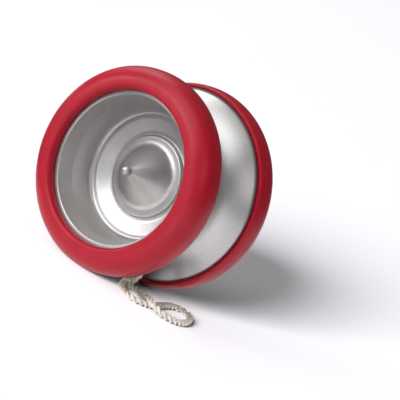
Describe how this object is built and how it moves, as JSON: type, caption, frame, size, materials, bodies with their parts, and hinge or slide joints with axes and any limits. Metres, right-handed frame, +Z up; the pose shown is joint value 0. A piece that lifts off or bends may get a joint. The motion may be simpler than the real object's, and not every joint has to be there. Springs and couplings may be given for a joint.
{
  "type": "yo-yo",
  "caption": "Ball-bearing metal yo-yo with deep cupped aluminium halves, red rubber rim rings and a cotton string ending in a finger loop.",
  "frame": {"origin": "centre of the yo-yo: middle of the string gap, on the spin axis", "axes": "+Y along the spin axis from the near half to the far half, +Z up with both rims resting on a surface at z = -0.0285, +X towards the side where the string leaves the gap"},
  "size_m": [0.0591, 0.0382, 0.057],
  "materials": {
    "aluminium": "bead-blasted and anodised clear, satin, faint turning marks",
    "red_rubber": "moulded, satin",
    "response_silicone": "moulded, matte",
    "axle_steel": "plain threaded stud",
    "bearing_steel": "ground and polished",
    "shield_steel": "stamped",
    "cage_steel": "stamped",
    "cotton": "two-ply twisted cotton, undyed"
  },
  "bodies": {
    "string_and_outer_race": {"bearing_outer_race": "bearing_steel", "near_bearing_shield": "shield_steel", "far_bearing_shield": "shield_steel", "near_snap_ring": "shield_steel", "far_snap_ring": "shield_steel", "string_winding": "cotton", "string_strand": "cotton", "string_knot": "cotton", "string_finger_loop": "cotton"},
    "spool": {"near_half": "aluminium", "far_half": "aluminium", "near_rim_ring": "red_rubber", "far_rim_ring": "red_rubber", "near_response_pad": "response_silicone", "far_response_pad": "response_silicone", "axle": "axle_steel", "bearing_inner_race": "bearing_steel"},
    "ball_set": {"bearing_ball_1": "bearing_steel", "bearing_ball_2": "bearing_steel", "bearing_ball_3": "bearing_steel", "bearing_ball_4": "bearing_steel", "bearing_ball_5": "bearing_steel", "bearing_ball_6": "bearing_steel", "bearing_ball_7": "bearing_steel", "bearing_ball_8": "bearing_steel", "bearing_cage": "cage_steel"}
  },
  "joints": [
    {"name": "spool_spin", "type": "hinge", "parent": "string_and_outer_race", "child": "spool", "pos_m": [0, 0, 0], "axis": [0, 1, 0], "continuous": true},
    {"name": "ball_set_orbit", "type": "hinge", "parent": "string_and_outer_race", "child": "ball_set", "pos_m": [0, 0, 0], "axis": [0, 1, 0], "continuous": true}
  ],
  "couplings": [
    {"joint": "ball_set_orbit", "follows": "spool_spin", "ratio": 0.4164}
  ]
}
